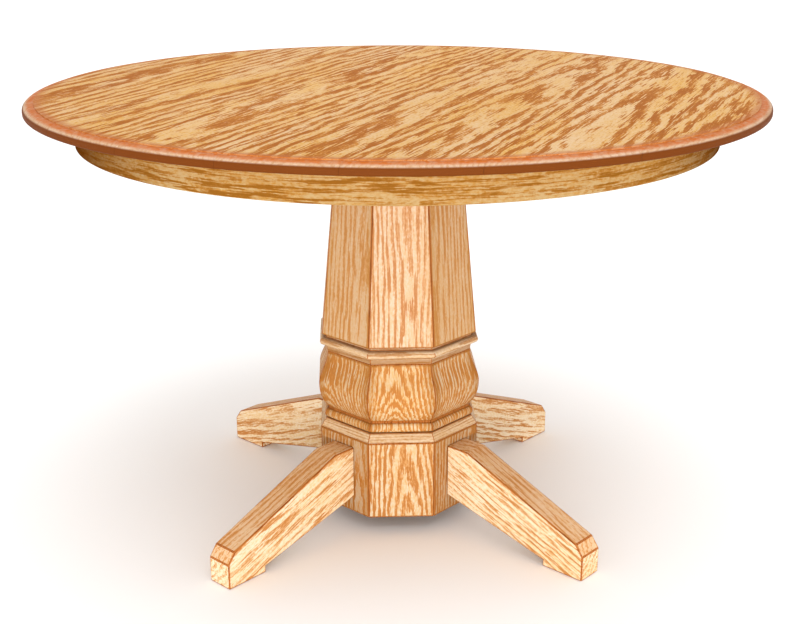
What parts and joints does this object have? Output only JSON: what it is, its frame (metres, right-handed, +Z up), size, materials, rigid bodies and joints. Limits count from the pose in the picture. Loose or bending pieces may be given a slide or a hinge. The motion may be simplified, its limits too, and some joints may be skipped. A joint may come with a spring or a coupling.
{
  "type": "round pedestal table",
  "caption": "Round oak dining table: moulded edge-glued top, hoop apron, tapered octagonal column with bead collar and vase bulb, on a block base with four spread legs.",
  "frame": {"origin": "on the floor under the middle of the pedestal", "axes": "+Z up; -Y towards the front face of the octagon; the legs point half-way between X and Y"},
  "size_m": [1.2192, 1.2192, 0.762],
  "materials": {
    "oak_top": "satin clear lacquer on honey-stained plain-sawn oak",
    "oak_apron": "satin clear lacquer on honey-stained oak, grain around the hoop",
    "oak_column": "satin clear lacquer on honey-stained oak, upright grain",
    "oak_bulb": "satin clear lacquer on honey-stained oak, upright grain",
    "oak_base": "satin clear lacquer on honey-stained oak, upright grain",
    "oak_moulding": "satin clear lacquer on honey-stained oak, grain along each moulding",
    "oak_leg": "satin clear lacquer on honey-stained oak, grain along the leg",
    "oak_unfinished": "sanded oak with a thin sealer",
    "zinc_steel": "zinc-plated steel"
  },
  "bodies": {
    "root": {"apron_half_back": "oak_apron", "apron_half_front": "oak_apron", "apron_splice_left": "oak_unfinished", "apron_splice_right": "oak_unfinished", "base_bottom_plate": "oak_unfinished", "base_cap": "oak_moulding", "base_stave_1": "oak_base", "base_stave_2": "oak_base", "base_stave_3": "oak_base", "base_stave_4": "oak_base", "base_stave_5": "oak_base", "base_stave_6": "oak_base", "base_stave_7": "oak_base", "base_stave_8": "oak_base", "bulb_stave_1": "oak_bulb", "bulb_stave_2": "oak_bulb", "bulb_stave_3": "oak_bulb", "bulb_stave_4": "oak_bulb", "bulb_stave_5": "oak_bulb", "bulb_stave_6": "oak_bulb", "bulb_stave_7": "oak_bulb", "bulb_stave_8": "oak_bulb", "column_stave_1": "oak_column", "column_stave_2": "oak_column", "column_stave_3": "oak_column", "column_stave_4": "oak_column", "column_stave_5": "oak_column", "column_stave_6": "oak_column", "column_stave_7": "oak_column", "column_stave_8": "oak_column", "column_top_plug": "oak_unfinished", "leg_back_left": "oak_leg", "leg_back_right": "oak_leg", "leg_bolt_back_left_lower": "zinc_steel", "leg_bolt_back_left_upper": "zinc_steel", "leg_bolt_back_right_lower": "zinc_steel", "leg_bolt_back_right_upper": "zinc_steel", "leg_bolt_front_left_lower": "zinc_steel", "leg_bolt_front_left_upper": "zinc_steel", "leg_bolt_front_right_lower": "zinc_steel", "leg_bolt_front_right_upper": "zinc_steel", "leg_front_left": "oak_leg", "leg_front_right": "oak_leg", "pedestal_collar": "oak_moulding", "tie_rod": "zinc_steel", "tie_rod_nut_bottom": "zinc_steel", "tie_rod_nut_top": "zinc_steel", "tie_rod_washer_bottom": "zinc_steel", "tie_rod_washer_top": "zinc_steel", "top_arm_front_to_back": "oak_unfinished", "top_arm_side_to_side": "oak_unfinished", "top_board_1": "oak_top", "top_board_2": "oak_top", "top_board_3": "oak_top", "top_board_4": "oak_top", "top_board_5": "oak_top", "top_board_6": "oak_top", "top_board_7": "oak_top", "top_board_8": "oak_top"}
  },
  "joints": []
}
